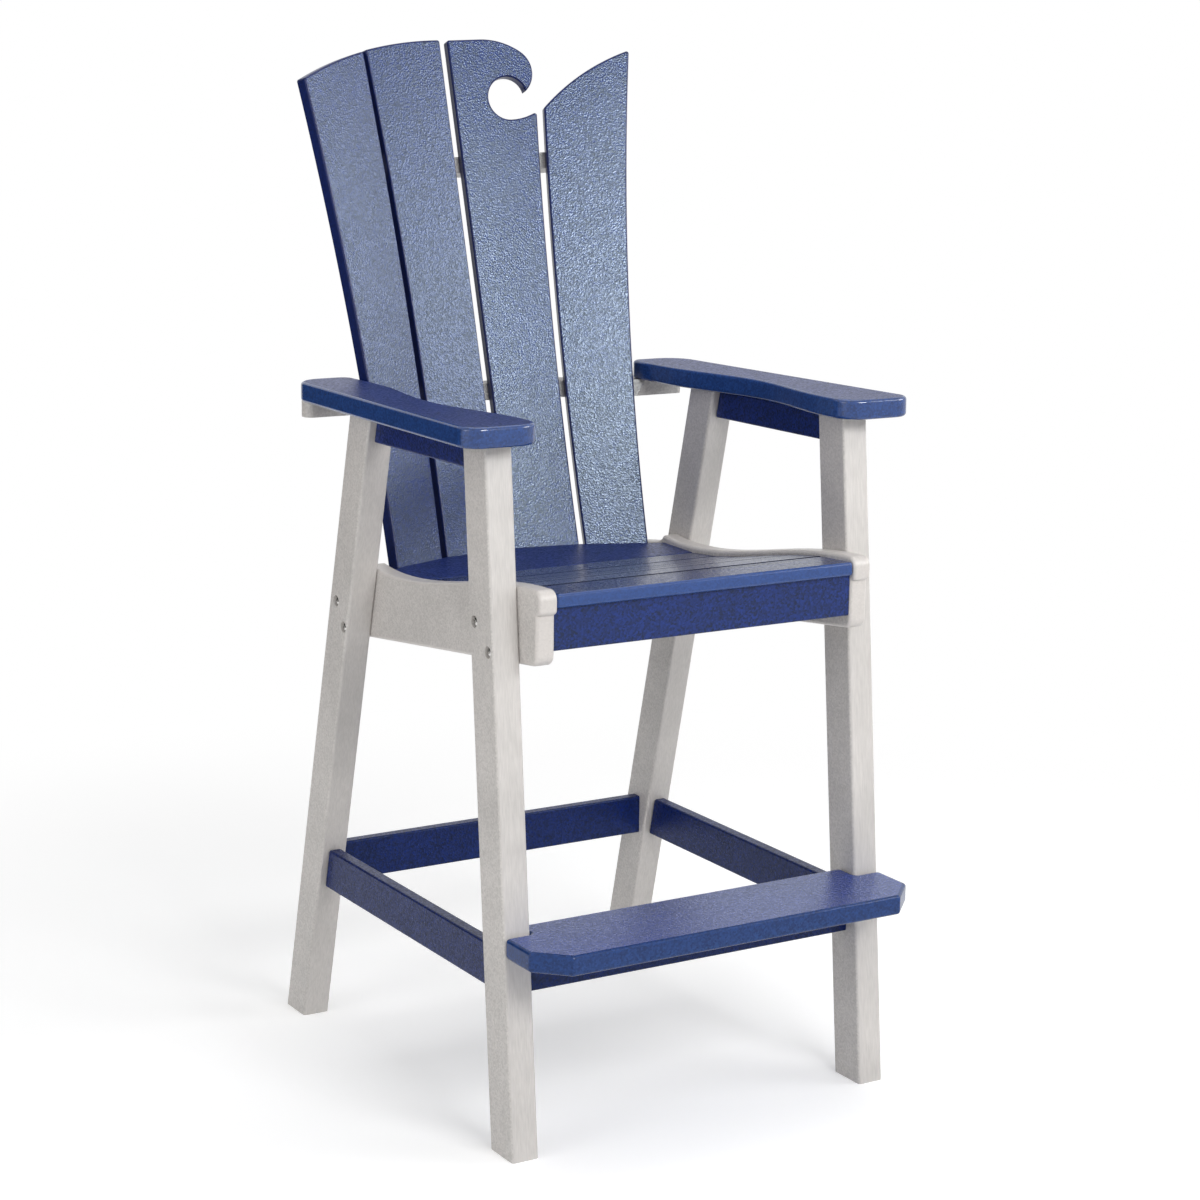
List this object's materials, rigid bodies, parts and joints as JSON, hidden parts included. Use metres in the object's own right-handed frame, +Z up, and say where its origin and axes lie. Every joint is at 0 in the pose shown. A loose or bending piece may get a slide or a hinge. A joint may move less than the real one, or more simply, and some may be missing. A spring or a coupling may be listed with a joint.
{
  "type": "outdoor bar chair with arms",
  "caption": "Tall outdoor bar chair of thick plastic boards: fanned back with a wave crest, contoured slatted seat, scalloped arms, splayed legs and a footrest.",
  "frame": {"origin": "on the floor, under the middle of the chair's bounding box", "axes": "+Z up, -Y the way the sitter faces, +X to the sitter's left, which is the right of the picture"},
  "size_m": [0.708, 0.8682, 1.4527],
  "materials": {
    "blue_board": "fine orange-peel texture, low sheen",
    "grey_board": "fine orange-peel texture, low sheen",
    "stainless": "plain stainless steel"
  },
  "bodies": {
    "root": {"front_leg_left": "grey_board", "front_leg_right": "grey_board", "rear_leg_left": "grey_board", "rear_leg_right": "grey_board", "seat_rail_left": "grey_board", "seat_rail_right": "grey_board", "front_apron": "blue_board", "seat_cleat_left": "grey_board", "seat_cleat_right": "grey_board", "seat_slat_1": "blue_board", "seat_slat_2": "blue_board", "seat_slat_3": "blue_board", "seat_slat_4": "blue_board", "seat_slat_5": "blue_board", "seat_slat_6": "blue_board", "seat_slat_rear": "blue_board", "back_slat_1": "blue_board", "back_slat_2": "blue_board", "back_slat_3_wave": "blue_board", "back_slat_4_swell": "blue_board", "lower_back_brace": "grey_board", "arm_level_brace": "grey_board", "upper_back_brace": "grey_board", "arm_left": "blue_board", "arm_right": "blue_board", "arm_rail_left": "blue_board", "arm_rail_right": "blue_board", "side_stretcher_left": "blue_board", "side_stretcher_right": "blue_board", "front_stretcher": "blue_board", "rear_stretcher": "blue_board", "footrest": "blue_board", "leg_bolts": "stainless", "bolt_washers": "stainless", "bolt_nuts": "stainless", "seat_cleat_screws": "stainless", "seat_slat_screws": "stainless", "back_slat_screws": "stainless", "arm_screws": "stainless", "frame_screws": "stainless", "footrest_screws": "stainless", "lower_brace_screws": "stainless"}
  },
  "joints": []
}
